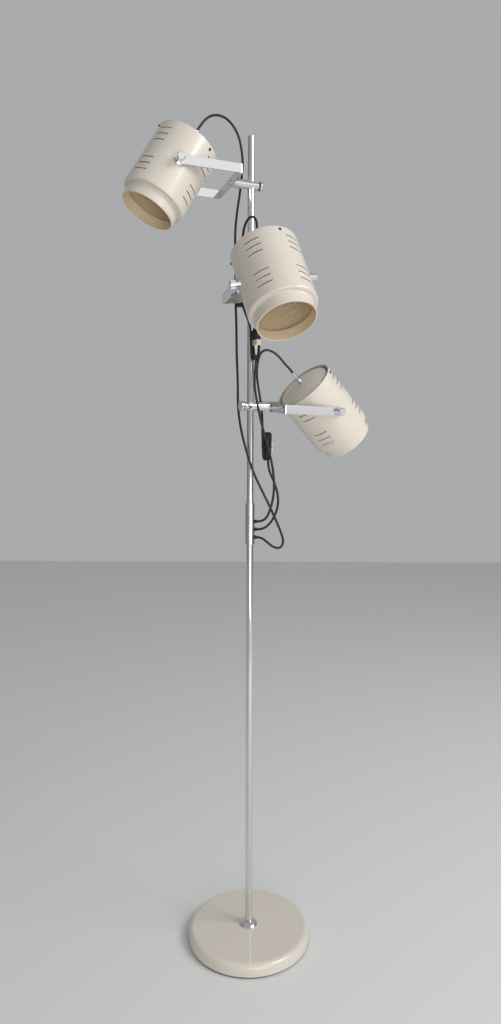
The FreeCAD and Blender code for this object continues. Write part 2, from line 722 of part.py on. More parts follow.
def build_head(head):
    clamp_frame, yoke_frame, shade_frame = head_frames(head)
    clamp(head, clamp_frame)
    bolt = yoke(head, yoke_frame)
    part(head + "_yoke_bolt", bolt, clamp_frame)
    pivots(head, yoke_frame, shade_frame)
    shade(head, shade_frame)
    rear_cap(head, shade_frame)
    gland_and_holder(head, shade_frame)


# ---------------------------------------------------------------- cords

def gland_end(head):
    """Where a cord leaves its gland, and its direction there."""
    frame = head_frames(head)[2]
    reach = S.shade_rear.value + S.cap_dome.value + S.gland_length.value
    return frame.multVec(Vector(-reach, 0, 0)), frame.Rotation.multVec(Vector(-1, 0, 0))


def bushing_mouth(height):
    """Where a cord enters the sleeve, and the direction out of it."""
    out = Rotation(Z_AXIS, S.bushing_turn.value).multVec(X_AXIS)
    return out * S.bushing_reach.value + Vector(0, 0, height.value), out


def rounded(points):
    """Straight runs joined by tangent arcs as large as the runs allow."""
    edges = []
    radii = []
    start = points[0]
    for before, corner, after in zip(points, points[1:], points[2:]):
        back, ahead = before - corner, after - corner
        turn = math.pi - back.getAngle(ahead)
        trim = 0.45 * min(back.Length, ahead.Length)
        radii.append(trim / math.tan(turn / 2))
        back.normalize()
        ahead.normalize()
        enter, leave = corner + back * trim, corner + ahead * trim
        centre_way = (back + ahead).normalize()
        centre = corner + centre_way * math.hypot(trim, radii[-1])
        middle = centre - centre_way * radii[-1]
        edges.append(Part.LineSegment(start, enter).toShape())
        edges.append(Part.Arc(enter, middle, leave).toShape())
        start = leave
    edges.append(Part.LineSegment(start, points[-1]).toShape())
    return edges, radii


def swept(name, edges):
    """A round tube along a path, with its volume held against section times length."""
    path = Part.Wire(edges)
    start = edges[0].valueAt(edges[0].FirstParameter)
    along = edges[0].tangentAt(edges[0].FirstParameter)
    ring = Part.Wire(Part.makeCircle(S.cord_radius.value, start, along))
    solid = path.makePipeShell([ring], True, False)
    ideal = math.pi * S.cord_radius.value ** 2 * path.Length
    print("%s: length %.0f mm, volume ratio %.4f" % (name, path.Length, solid.Volume / ideal))
    feature = doc.addObject("Part::Feature", name)
    feature.Shape = solid
    feature.Label = name
    parts[name] = feature
    return path


def cord(name, points):
    """A free stretch of cord through points chosen by hand."""
    edges, radii = rounded(points)
    swept(name, edges)
    print("   radii", " ".join("%.0f" % radius for radius in radii))


def quarter(start, along, towards, radius):
    """A quarter turn from one direction to another at right angles to it."""
    middle = start + along * (radius * math.sin(math.pi / 4)) + towards * (
        radius * (1 - math.cos(math.pi / 4)))
    end = start + (along + towards) * radius
    return Part.Arc(start, middle, end).toShape(), end


def hank(name, start, loops):
    """Long loops hung side by side, each a step behind or before the last, as one tube."""
    across = Rotation(Z_AXIS, S.hank_bearing.value).multVec(X_AXIS)
    lean = Rotation(Z_AXIS, 90).multVec(across) * getattr(S, name + "_lean").value
    down = (lean - Z_AXIS).normalize()
    up = (lean + Z_AXIS).normalize()
    run, bend = getattr(S, name + "_run").value, getattr(S, name + "_turn").value
    edges = []
    spot = start
    for loop in range(loops):
        edges.append(Part.LineSegment(spot, spot + down * run).toShape())
        spot = spot + down * run
        if loop == loops - 1:
            break
        arc, spot = quarter(spot, down, across, bend)
        edges.append(arc)
        arc, spot = quarter(spot, across, up, bend)
        edges.append(arc)
        edges.append(Part.LineSegment(spot, spot + up * run).toShape())
        spot = spot + up * run
        arc, spot = quarter(spot, up, -across, bend)
        edges.append(arc)
        arc, spot = quarter(spot, -across, down, bend)
        edges.append(arc)
    path = swept(name, edges)
    samples = path.discretize(Distance=2.0)
    step = path.Length / (len(samples) - 1)
    skip = int(math.ceil(6 * S.cord_radius.value / step))
    least = min((a - b).Length for i, a in enumerate(samples) for b in samples[i + skip:])
    print("   least self gap %.2f mm" % (least - 2 * S.cord_radius.value))
    return spot, down


def cords():
    """Three free cords from the glands to the sleeve, with the slack of two in hanks."""
    start, out = gland_end("upper")
    finish, leave = bushing_mouth(S.bushing_3_z)
    cord("upper_cord", [start, start + out * 16,
         Vector(-101, -37, 1850), Vector(-84, -32, 1861), Vector(-62, -26, 1860),
         Vector(-43, -20, 1846), Vector(-29, -13, 1824), Vector(-22, -5, 1797),
         Vector(-19, 3, 1768), Vector(-22, 10, 1735), Vector(-26, 14, 1700),
         Vector(-33, 14, 1655), Vector(-37, 12, 1605), Vector(-35, 13, 1550),
         Vector(-36, 12, 1480), Vector(-33, 13, 1405), Vector(-32, 12, 1330),
         Vector(-29, 13, 1265), Vector(-29, 11, 1212), Vector(-24, 2, 1170),
         Vector(-15, -10, 1130), Vector(-4, -19, 1092), Vector(9, -23, 1055),
         Vector(25, -24, 1022), Vector(42, -23, 988), Vector(57, -19, 955),
         Vector(70, -15, 925), Vector(77, -13, 902), Vector(69, -13, 887),
         Vector(52, -13, 890), Vector(37, -10, 903), finish + leave * 9, finish])

    start, out = gland_end("middle")
    cord("middle_cord_top", [start, start + out * 20,
         Vector(12, -118, 1597), Vector(0, -104, 1610), Vector(-13, -94, 1596),
         Vector(-18, -84, 1571), Vector(-21, -68, 1536),
         Vector(-23, -50, 1502), Vector(-23, -37, 1468), Vector(-19, -30, 1436),
         Vector(-9, -24, 1410), Vector(0, -20, 1391), Vector(0, -19, 1374)])
    end, down = hank("upper_hank", Vector(0, -19, 1374), 3)
    finish, leave = bushing_mouth(S.bushing_1_z)
    cord("middle_cord_tail", [end, end + down * 16,
         Vector(10, -14, 1285), Vector(9, -21, 1256), Vector(14, -26, 1222),
         Vector(23, -25, 1178), Vector(36, -20, 1130), Vector(46, -16, 1095),
         Vector(53, -8, 1060), Vector(55, -4, 1028), Vector(53, -3, 1002),
         Vector(46, -5, 973), finish + leave * 18, finish])

    start, out = gland_end("lower")
    cord("lower_cord_top", [start, start + out * 16,
         Vector(78, 22, 1312), Vector(66, 15, 1326), Vector(52, 6, 1336),
         Vector(36, -2, 1340), Vector(23, -4, 1333), Vector(17, 2, 1315),
         Vector(14, 12, 1290), Vector(17, 22, 1263), Vector(22, 29, 1236),
         Vector(26, 30, 1207), Vector(28, 22, 1180), Vector(28, 12, 1160), Vector(28, 9, 1142)])
    end, down = hank("lower_hank", Vector(28, 9, 1142), 3)
    finish, leave = bushing_mouth(S.bushing_2_z)
    cord("lower_cord_tail", [end, end + down * 16,
         Vector(44, 14, 1062), Vector(54, 8, 1040), Vector(63, 4, 1014),
         Vector(65, 1, 988), Vector(58, -3, 963), Vector(46, -6, 943),
         finish + leave * 14, finish])


def write_parts():
    """Check every object, then write each sub-part to its own file."""
    doc.recompute()
    for thing in doc.Objects:
        if "Invalid" in thing.State or "Error" in thing.State:
            raise RuntimeError("failed object: %s %s" % (thing.Name, thing.State))
    os.makedirs("parts", exist_ok=True)
    for name, thing in parts.items():
        shape = thing.Shape
        if shape.isNull() or not shape.isValid() or not shape.Solids:
            raise RuntimeError("bad shape: " + name)
        shape.exportStep("parts/%s.step" % name)
    print("%d nodes" % len(parts))


base()
pole()
sleeve()
for head_name in HEADS:
    build_head(head_name)
cords()
write_parts()
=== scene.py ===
import json
import math

import bmesh
import bpy
from mathutils import Matrix, Vector


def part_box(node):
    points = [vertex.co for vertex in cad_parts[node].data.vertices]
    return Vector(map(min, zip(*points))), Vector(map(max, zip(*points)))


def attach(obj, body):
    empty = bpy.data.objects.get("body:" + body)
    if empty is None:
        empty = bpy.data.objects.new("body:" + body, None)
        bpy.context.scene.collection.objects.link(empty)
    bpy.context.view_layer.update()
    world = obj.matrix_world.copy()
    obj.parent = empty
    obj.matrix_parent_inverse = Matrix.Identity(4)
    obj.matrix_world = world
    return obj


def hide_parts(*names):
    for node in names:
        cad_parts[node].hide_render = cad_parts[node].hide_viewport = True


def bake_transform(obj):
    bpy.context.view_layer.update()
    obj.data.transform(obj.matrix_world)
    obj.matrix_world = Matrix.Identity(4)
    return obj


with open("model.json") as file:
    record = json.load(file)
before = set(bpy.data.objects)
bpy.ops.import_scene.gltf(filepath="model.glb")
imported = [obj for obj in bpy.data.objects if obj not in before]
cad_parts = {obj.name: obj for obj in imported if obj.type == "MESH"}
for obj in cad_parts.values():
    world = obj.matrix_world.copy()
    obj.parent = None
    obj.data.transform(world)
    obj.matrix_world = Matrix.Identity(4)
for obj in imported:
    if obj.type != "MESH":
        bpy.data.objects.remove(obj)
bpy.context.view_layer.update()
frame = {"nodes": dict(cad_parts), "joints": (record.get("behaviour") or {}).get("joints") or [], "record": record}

bl_info = {
    "name": "Three-spot floor lamp",
    "version": (1, 0, 0),
    "blender": (4, 5, 0),
    "location": "View3D > Sidebar > Floor lamp",
    "description": "Finishes, cords and stage of a floor lamp with three slotted spotlights",
    "category": "Object",
}

HEADS = ("upper", "middle", "lower")

# Thumb knobs in metres: the knob's radius and the length of its barrel, and the length, height
# and width of a ridge of the knurl.
KNOB_RADIUS = 0.009
KNOB_BARREL = 0.014
RIDGE_LENGTH = 0.0095
RIDGE_HEIGHT = 0.0005
RIDGE_WIDTH = 0.0009

# Cap screws in metres: the arms of the cross, a thin near-black sheet of painted shade laid on each screw's
# recessed cross, how deep below a screw's highest point its outer face still counts, and how far apart points of
# one screw can lie.
RECESS_ARMS = 4
RECESS_REACH = 0.0014
RECESS_WIDTH = 0.0006
RECESS_DEPTH = 0.00008
SCREW_TOP_DEPTH = 0.0002
SCREW_SPREAD = 0.010

# The middle of a shade's wall in metres: the barrel's reach from the axis, the place of the step
# along it, the sum of both on the rounded shoulder, and the collar's reach from the axis.
BARREL_SKIN = 0.0712
STEP_SKIN = 0.0772
SHOULDER_SKIN = 0.1458
COLLAR_SKIN = 0.0612

# The slots' cut edges, which carry painted shade, in metres: the least reach from the shade's axis, and
# how far along it from the pivot they begin and end. An edge faces neither in nor out by more than a share.
CUT_INNER = 0.0700
CUT_START = -0.062
CUT_END = 0.058
CUT_FACING = 0.6

# The photograph's frame in pixels, and in it the camera's focal length, the horizon and the pole.
# SENSOR is the camera's height of film in millimetres.
PHOTO_WIDTH = 501
PHOTO_HEIGHT = 1024
FOCAL_PIXELS = 703.5
HORIZON_ROW = 461.5
POLE_COLUMN = 250.2
SENSOR = 36.0

# Cord routes in metres, from each gland down to the sleeve.
UPPER_ROUTE = (
    (-0.12055, -0.04439, 1.8186), (-0.11305, -0.0414, 1.83242), (-0.101, -0.037, 1.850),
    (-0.084, -0.032, 1.861), (-0.062, -0.026, 1.860), (-0.043, -0.020, 1.846),
    (-0.029, -0.013, 1.824), (-0.022, -0.005, 1.797), (-0.019, 0.003, 1.768),
    (-0.022, 0.010, 1.735), (-0.026, 0.014, 1.700), (-0.033, 0.014, 1.655),
    (-0.037, 0.012, 1.605), (-0.035, 0.013, 1.550), (-0.036, 0.012, 1.480),
    (-0.033, 0.013, 1.405), (-0.032, 0.012, 1.330), (-0.029, 0.013, 1.265),
    (-0.029, 0.011, 1.212), (-0.024, 0.002, 1.170), (-0.015, -0.010, 1.130),
    (-0.004, -0.019, 1.092), (0.009, -0.023, 1.055), (0.025, -0.024, 1.022),
    (0.042, -0.023, 0.988), (0.057, -0.019, 0.955), (0.070, -0.015, 0.925),
    (0.077, -0.013, 0.902), (0.069, -0.013, 0.887), (0.052, -0.013, 0.890),
    (0.037, -0.010, 0.903), (0.02415, -0.00647, 0.9115), (0.01545, -0.00414, 0.9115),
)
MIDDLE_TOP_ROUTE = (
    (0.01716, -0.13346, 1.55522), (0.0123, -0.12516, 1.57275), (0.012, -0.118, 1.597),
    (0.000, -0.104, 1.610), (-0.013, -0.094, 1.596), (-0.018, -0.084, 1.571),
    (-0.021, -0.068, 1.536), (-0.023, -0.050, 1.502), (-0.023, -0.037, 1.468),
    (-0.019, -0.030, 1.436), (-0.009, -0.024, 1.410), (0.000, -0.020, 1.391),
    (0.000, -0.019, 1.374),
)
MIDDLE_TAIL_ROUTE = (
    (0.01224, -0.01043, 1.32405), (0.01284, -0.01001, 1.30807), (0.010, -0.014, 1.285),
    (0.009, -0.021, 1.256), (0.014, -0.026, 1.222), (0.023, -0.025, 1.178),
    (0.036, -0.020, 1.130), (0.046, -0.016, 1.095), (0.053, -0.008, 1.060),
    (0.055, -0.004, 1.028), (0.053, -0.003, 1.002), (0.046, -0.005, 0.973),
    (0.03284, -0.0088, 0.9475), (0.01545, -0.00414, 0.9475),
)
LOWER_TOP_ROUTE = (
    (0.0977, 0.03208, 1.29218), (0.08776, 0.02599, 1.30313), (0.078, 0.022, 1.312),
    (0.066, 0.015, 1.326), (0.052, 0.006, 1.336), (0.036, -0.002, 1.340),
    (0.023, -0.004, 1.333), (0.017, 0.002, 1.315), (0.014, 0.012, 1.290),
    (0.017, 0.022, 1.263), (0.022, 0.029, 1.236), (0.026, 0.030, 1.207),
    (0.028, 0.022, 1.180), (0.028, 0.012, 1.160), (0.028, 0.009, 1.142),
)
LOWER_TAIL_ROUTE = (
    (0.04084, 0.01799, 1.09607), (0.04155, 0.01849, 1.08009), (0.044, 0.014, 1.062),
    (0.054, 0.008, 1.040), (0.063, 0.004, 1.014), (0.065, 0.001, 0.988),
    (0.058, -0.003, 0.963), (0.046, -0.006, 0.943), (0.02898, -0.00776, 0.9295),
    (0.01545, -0.00414, 0.9295),
)

# Each stretch of a cord from its head down: the two bodies named for it, and the share of the route's length where
# it ends.
# A stretch whose two bodies are the same rides on that body; the others stay where they are laid.
STRETCHES = {
    "upper_cord": ((("head", "arms"), 0.20), (("arms", "clamp"), 0.26),
                   (("clamp", "slider"), 0.32), (("slider", None), 0.52), ((None, None), 1.0)),
    "middle_cord_top": ((("head", "arms"), 0.65), (("arms", "clamp"), 0.77),
                        (("clamp", "slider"), 0.885), (("slider", None), 1.0)),
    "middle_cord_tail": (((None, None), 1.0),),
    "lower_cord_top": ((("head", "arms"), 0.74), (("arms", "clamp"), 0.85),
                       (("clamp", "slider"), 1.0)),
    "lower_cord_tail": ((("slider", None), 1.0),),
}
ROUTES = {
    "upper_cord": UPPER_ROUTE, "middle_cord_top": MIDDLE_TOP_ROUTE,
    "middle_cord_tail": MIDDLE_TAIL_ROUTE, "lower_cord_top": LOWER_TOP_ROUTE,
    "lower_cord_tail": LOWER_TAIL_ROUTE,
}

# The small clip on the upper cord, behind the middle yoke: the middle of its top's front edge,
# its width, depth and height in metres, and how wide its foot is as a share of its top.
CLIP_TOP = (-0.0285, 0.008, 1.451)
CLIP_SIZE = (0.0175, 0.009, 0.011)
CLIP_TAPER = 0.94

# Hanks in metres: where the first run starts, its length, the radius of its turns, and how far
# a metre of run steps sideways. The loops stand at one bearing, and go down three times. A run
# and a quarter turn have the same number of points each.
HANKS = {
    "upper_hank": {"start": (0.000, -0.019, 1.374), "run": 0.050, "turn": 0.0094, "lean": 0.046},
    "lower_hank": {"start": (0.028, 0.009, 1.142), "run": 0.046, "turn": 0.0076, "lean": 0.054},
}
HANK_BODIES = {"upper_hank": "stand", "lower_hank": "lower_slider"}
HANK_BEARING = math.radians(-55.0)
HANK_RUNS_DOWN = 3
BEND_POINTS = 3

# The band round each hank in metres: the height where it starts, the strands that it holds in
# the order of the cord, its thickness and its finish. It stands a little off the strands.
BANDS = {
    "upper_hank": {"low": 1.3445, "chosen": (1, 2, 3, 4), "thickness": 0.0008,
                   "colour": "tie_tape"},
    "lower_hank": {"low": 1.1145, "chosen": (0, 1, 2, 3, 4), "thickness": 0.0007,
                   "colour": "black_plastic"},
}
BAND_GAP = 0.0002
BAND_SIDES = 40
LOWER_BAND_HEIGHT = 0.003

# Loose ends of the tape in metres: width, depth and height, and how wide the tip is as a share.
UPPER_END_PLACE = (0.0125, 1.3447)
UPPER_END_SIZE = (0.0075, 0.0006, 0.022)
UPPER_END_TAPER = 0.35
LOWER_END_WIDTH = 0.0035
LOWER_END_DEPTH = 0.0007
LOWER_END_TAPER = 0.6
# Of each lower end: how far out of the band it hangs, the height of its top, and its length.
LOWER_ENDS = ((0.0012, 1.1270, 0.0100), (0.0010, 1.1150, 0.0075))

# A cord's line: steps between two of its points, and the order of its curve.
LINE_STEPS = 8
LINE_ORDER = 3

# Enamel: size of its clouds, of its change of gloss and of its peel, as noise scales; the peel's
# depth in metres; its roughness, and how much more rough it is in patches and inside the shades.
CLOUD_SCALE = 9.0
GLOSS_SCALE = 36.0
PEEL_SCALE = 420.0
PEEL_DEPTH = 0.0004
ENAMEL_ROUGH = 0.27
PATCH_ROUGH = 0.10
LINING_ROUGH = 0.18

# Other finishes: a second tone of the chrome, and for each plain finish its colour, roughness,
# grain as a noise scale, and whether it is metal. GRAIN_DEPTH is in metres.
CHROME_HAZE = (0.70, 0.70, 0.71)
PLAIN_FINISHES = {
    "black_plastic": ((0.016, 0.016, 0.017), 0.42, 300.0, 0.0),
    "holder_plastic": ((0.68, 0.63, 0.52), 0.35, 300.0, 0.0),
    "nylon": ((0.62, 0.61, 0.57), 0.5, 300.0, 0.0),
    "zinc_steel": ((0.52, 0.53, 0.54), 0.34, 260.0, 1.0),
    # The near-black finish below paints the shade in the cap screws' cross recesses.
    "recess": ((0.004, 0.004, 0.004), 0.7, 300.0, 0.0),
    "tie_end": ((0.70, 0.70, 0.68), 0.5, 500.0, 0.0),
}
GRAIN_DEPTH = 0.0002
SHEATH_GRAIN_DEPTH = 0.0001
CLOUD_DARKENING = 0.12

# Stage in metres: the floor's reach from the lamp, and for each soft light where it stands, the
# point that it faces, and its width and height.
FLOOR_REACH = 6.0
LIGHTS = {
    "key": ((2.75, -1.15, 3.0), (0.0, 0.0, 1.1), (1.8, 1.6)),
    "panel": ((2.1, -2.3, 2.0), (0.0, 0.0, 1.1), (2.4, 3.0)),
    "fill": ((0.7, -2.4, 0.6), (0.0, 0.0, 1.4), (1.4, 0.8)),
}


class LampLooks(bpy.types.PropertyGroup):
    """Colours and sizes of the lamp's finishes and cords."""

    lacquer: bpy.props.FloatVectorProperty(
        name="Lacquer", description="Colour of the stove enamel", subtype="COLOR",
        size=3, default=(0.762, 0.702, 0.618))
    lacquer_shade: bpy.props.FloatVectorProperty(
        name="Lacquer shade", description="Warmer tone that clouds the enamel", subtype="COLOR",
        size=3, default=(0.722, 0.657, 0.562))
    chrome: bpy.props.FloatVectorProperty(
        name="Chrome", description="Tone of the chrome plate", subtype="COLOR",
        size=3, default=(0.78, 0.78, 0.79))
    # Painted warm bounce light: the inside of the shades is the same cream enamel, given this warmer tone to stand
    # in for light thrown about inside them.
    painted_bounce_light: bpy.props.FloatVectorProperty(
        name="Painted bounce light", description="Colour of the enamel inside the shades", subtype="COLOR",
        size=3, default=(0.84, 0.68, 0.47))
    # Painted shade: the slots' cut edges are darkened to stand in for the shade seen in the slots.
    painted_slot_shade: bpy.props.FloatVectorProperty(
        name="Slot edges", description="Colour of the cut edges of the slots", subtype="COLOR",
        size=3, default=(0.085, 0.062, 0.040))
    sheath: bpy.props.FloatVectorProperty(
        name="Cord sheath", description="Colour of the cords", subtype="COLOR",
        size=3, default=(0.012, 0.012, 0.013))
    tape: bpy.props.FloatVectorProperty(
        name="Tie tape", description="Colour of the cord ties", subtype="COLOR",
        size=3, default=(0.62, 0.56, 0.42))
    cord_width: bpy.props.FloatProperty(
        name="Cord width", description="Outside diameter of the cords", subtype="DISTANCE",
        default=0.0054, min=0.001, max=0.02)
    tie_height: bpy.props.FloatProperty(
        name="Tie height", description="Height of the tape round a hank", subtype="DISTANCE",
        default=0.013, min=0.002, max=0.05)
    knurl_count: bpy.props.IntProperty(
        name="Knurl ridges", description="Ridges round a thumb knob", default=26, min=6, max=90)
    cord_sides: bpy.props.IntProperty(
        name="Cord sides", description="Facets round a cord", default=14, min=6, max=48)


class StageLooks(bpy.types.PropertyGroup):
    """Floor, lights and camera."""

    floor: bpy.props.FloatVectorProperty(
        name="Floor", description="Colour of the floor", subtype="COLOR",
        size=3, default=(0.80, 0.80, 0.79))
    world: bpy.props.FloatVectorProperty(
        name="Surroundings", description="Colour of the light from all round", subtype="COLOR",
        size=3, default=(0.80, 0.81, 0.83))
    world_strength: bpy.props.FloatProperty(
        name="Surroundings strength", description="Strength of the light from all round",
        default=0.50, min=0.0, max=5.0)
    side_dimming: bpy.props.FloatProperty(
        name="Side dimming", description="How much dimmer the surroundings are at the two sides",
        default=0.6, min=0.0, max=1.0)
    key_power: bpy.props.FloatProperty(
        name="Key power", description="Power of the large soft light", subtype="POWER",
        default=62.0, min=0.0, max=2000.0)
    fill_power: bpy.props.FloatProperty(
        name="Fill power", description="Power of the second soft light", subtype="POWER",
        default=16.0, min=0.0, max=2000.0)
    panel_power: bpy.props.FloatProperty(
        name="Panel power", description="Power of the wide dim panel that the chrome mirrors",
        subtype="POWER", default=14.0, min=0.0, max=2000.0)
    camera_distance: bpy.props.FloatProperty(
        name="Camera distance", description="Distance from the pole to the camera",
        subtype="DISTANCE", default=1.608, min=0.2, max=20.0)
    camera_height: bpy.props.FloatProperty(
        name="Camera height", description="Height of the camera above the floor",
        subtype="DISTANCE", default=1.084, min=0.0, max=5.0)
    camera_roll: bpy.props.FloatProperty(
        name="Camera roll", description="Lean of the camera", subtype="ANGLE",
        default=math.radians(-0.19), min=-0.5, max=0.5)


# ---------------------------------------------------------------- materials

class Field:
    """A value in a shader tree that takes plain arithmetic."""

    def __init__(self, tree, socket):
        self.tree = tree
        self.socket = socket

    def join(self, operation, first, second):
        node = self.tree.nodes.new("ShaderNodeMath")
        node.operation = operation
        for slot, value in zip(node.inputs, (first, second)):
            plug(self.tree, slot, value)
        return Field(self.tree, node.outputs[0])

    def __add__(self, other):
        return self.join("ADD", self, other)

    def __radd__(self, other):
        return self.join("ADD", other, self)

    def __sub__(self, other):
        return self.join("SUBTRACT", self, other)

    def __rsub__(self, other):
        return self.join("SUBTRACT", other, self)

    def __mul__(self, other):
        return self.join("MULTIPLY", self, other)

    def __rmul__(self, other):
        return self.join("MULTIPLY", other, self)

    def __truediv__(self, other):
        return self.join("DIVIDE", self, other)

    def __rtruediv__(self, other):
        return self.join("DIVIDE", other, self)

    def __lt__(self, other):
        return self.join("LESS_THAN", self, other)

    def clamped(self):
        field = self.join("MAXIMUM", self, 0.0)
        return self.join("MINIMUM", field, 1.0)


def plug(tree, slot, value):
    """Link a field to a socket, or set a plain value on it."""
    if isinstance(value, Field):
        tree.links.new(value.socket, slot)
    elif slot.type == "RGBA":
        slot.default_value = (*value[:3], 1.0)
    else:
        slot.default_value = value


class Shader:
    """A material's tree, with one method that makes any node."""

    def __init__(self, name):
        self.material = bpy.data.materials.new(name)
        self.material.use_nodes = True
        self.tree = self.material.node_tree
        self.surface = self.tree.nodes["Principled BSDF"]

    def make(self, kind, output=0, **inputs):
        node = self.tree.nodes.new("ShaderNode" + kind)
        for key, value in inputs.items():
            plug(self.tree, node.inputs[key.replace("_", " ")], value)
        return Field(self.tree, node.outputs[output])

    def place(self):
        return self.make("TexCoord", output="Object")

    def noise(self, scale, detail=3.0):
        return self.make("TexNoise", Vector=self.place(), Scale=scale, Detail=detail)

    def vector(self, operation, first, second, then=None):
        """Vector maths that gives a vector, or a number where the operation or then does."""
        node = self.tree.nodes.new("ShaderNodeVectorMath")
        node.operation = operation
        for slot, value in zip(node.inputs, (first, second)):
            plug(self.tree, slot, value)
        if then is None:
            return Field(self.tree, node.outputs[1 if operation == "DOT_PRODUCT" else 0])
        last = self.tree.nodes.new("ShaderNodeVectorMath")
        last.operation = then
        self.tree.links.new(node.outputs[0], last.inputs[0])
        return Field(self.tree, last.outputs["Value"])

    def blend(self, factor, first, second):
        node = self.tree.nodes.new("ShaderNodeMix")
        node.data_type = "RGBA"
        plug(self.tree, node.inputs["Factor"], factor)
        colours = [slot for slot in node.inputs if slot.type == "RGBA"]
        plug(self.tree, colours[0], first)
        plug(self.tree, colours[1], second)
        out = next(slot for slot in node.outputs if slot.type == "RGBA")
        return Field(self.tree, out)

    def bump(self, height, strength, distance):
        return self.make("Bump", Height=height, Strength=strength, Distance=distance)

    def finish(self, **inputs):
        for key, value in inputs.items():
            plug(self.tree, self.surface.inputs[key.replace("_", " ")], value)
        return self.material


def clouded(shader, looks):
    """The enamel's colour outside, in soft clouds of two tones."""
    return shader.blend(shader.noise(CLOUD_SCALE), looks.lacquer, looks.lacquer_shade)


def enamel(shader, colour, inside=0.0):
    """Finish a shader as stove enamel, with a clear gloss and a fine peel."""
    return shader.finish(
        Base_Color=colour,
        Roughness=ENAMEL_ROUGH + PATCH_ROUGH * shader.noise(GLOSS_SCALE) + LINING_ROUGH * inside,
        Coat_Weight=0.5, Coat_Roughness=0.08,
        Normal=shader.bump(shader.noise(PEEL_SCALE, detail=1.0), strength=0.10,
                           distance=PEEL_DEPTH))


def lacquer(looks):
    shader = Shader("cream_lacquer")
    return enamel(shader, clouded(shader, looks))


def shade_lacquer(head, looks):
    """Enamel with painted warm bounce light inside the shade and painted shade on the slots' cut edges,
    told apart by where the surface lies and whether it faces the shade's axis."""
    pivot, axis = shade_line(head)
    shader = Shader(head + "_shade_lacquer")
    away = shader.vector("SUBTRACT", shader.place(), pivot)
    reach = shader.vector("CROSS_PRODUCT", away, axis, then="LENGTH")
    along = shader.vector("DOT_PRODUCT", away, axis)
    normal = shader.make("TexCoord", output="Normal")
    outward = (shader.vector("DOT_PRODUCT", away, normal)
               - along * shader.vector("DOT_PRODUCT", normal, axis)) / reach
    barrel = (reach < BARREL_SKIN) * (along < STEP_SKIN) * ((along + reach) < SHOULDER_SKIN)
    collar = (reach < COLLAR_SKIN) * (1.0 - (along < STEP_SKIN))
    # Painted warm bounce light: where the surface faces the axis, or lies inside the wall's middle without facing
    # clearly out.
    inside = ((outward < -CUT_FACING) + (barrel + collar) * (outward < CUT_FACING)).clamped()
    # Painted shade on the slots' cut edges: walls that face neither in nor out, beyond the least reach, within the
    # slots' span along the axis.
    cut = ((outward < CUT_FACING) * (1.0 - (outward < -CUT_FACING)) * (1.0 - (reach < CUT_INNER))
           * (along < CUT_END) * (1.0 - (along < CUT_START)))
    skin = shader.blend(inside, clouded(shader, looks), looks.painted_bounce_light)
    return enamel(shader, shader.blend(cut, skin, looks.painted_slot_shade), inside)


def shade_line(head):
    """A head's pivot, and the direction from its lamp holder out of the shade's mouth."""
    pivot = next(Vector(joint["pos_m"]) for joint in frame["joints"]
                 if joint["name"] == head + "_tilt")
    low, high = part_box(head + "_cord_gland")
    gland = (Vector(low) + Vector(high)) / 2
    return pivot, (pivot - gland).normalized()


def chrome(looks):
    shader = Shader("chrome")
    wear = shader.noise(scale=26.0, detail=5.0)
    haze = shader.noise(scale=7.0)
    return shader.finish(
        Base_Color=shader.blend(haze, looks.chrome, CHROME_HAZE),
        Metallic=1.0,
        Roughness=0.08 + 0.12 * (wear * haze))


def plain(name, colour, rough, grain, metallic=0.0, depth=GRAIN_DEPTH):
    """A material of one colour with a little cloud, grain and change of gloss."""
    shader = Shader(name)
    dark = tuple(channel * (1.0 - CLOUD_DARKENING) for channel in colour)
    return shader.finish(
        Base_Color=shader.blend(shader.noise(scale=40.0), colour, dark),
        Metallic=metallic,
        Roughness=(rough - 0.05) + 0.10 * shader.noise(scale=60.0),
        Normal=shader.bump(shader.noise(grain, detail=2.0), strength=0.25, distance=depth))


def felt(colour):
    shader = Shader("felt_pad")
    fibre = shader.noise(scale=900.0, detail=6.0)
    return shader.finish(
        Base_Color=shader.blend(fibre, colour, tuple(2.2 * channel for channel in colour)),
        Roughness=0.85 + 0.12 * fibre,
        Normal=shader.bump(fibre, strength=0.6, distance=0.0008))


def casting(colour):
    shader = Shader("cast_weight")
    grit = shader.noise(scale=240.0, detail=8.0)
    return shader.finish(
        Base_Color=shader.blend(grit, colour, tuple(1.6 * channel for channel in colour)),
        Metallic=0.6,
        Roughness=0.55 + 0.25 * grit,
        Normal=shader.bump(grit, strength=0.5, distance=0.0012))


def lamp_materials(looks):
    """Every finish, by its packed slot's name or by a node's own."""
    return {
        "cream_lacquer": lacquer(looks),
        **{head + "_shade": shade_lacquer(head, looks) for head in HEADS},
        "chrome": chrome(looks),
        "cast_weight": casting((0.06, 0.06, 0.062)),
        "felt_pad": felt((0.020, 0.020, 0.022)),
        "black_cord": plain("black_cord", tuple(looks.sheath), rough=0.48, grain=700.0,
                            depth=SHEATH_GRAIN_DEPTH),
        "tie_tape": plain("tie_tape", tuple(looks.tape), rough=0.6, grain=500.0),
        **{name: plain(name, *values) for name, values in PLAIN_FINISHES.items()},
    }


def material(name):
    found = bpy.data.materials.get(name)
    if found is None:
        raise RuntimeError("no material " + name)
    return found


class LAMP_OT_finishes(bpy.types.Operator):
    """Give each CAD node its procedural finish"""

    bl_idname = "lamp.finishes"
    bl_label = "Finishes"

    def execute(self, context):
        for old in list(bpy.data.materials):
            old.name = "packed_" + old.name
        made = lamp_materials(context.scene.lamp_looks)
        for row in frame["record"]["subparts"]:
            thing = frame["nodes"][row["node"]]
            thing.data.materials.clear()
            thing.data.materials.append(made.get(row["node"]) or made[row["material_slot"]])
        return {"FINISHED"}


# ---------------------------------------------------------------- cords

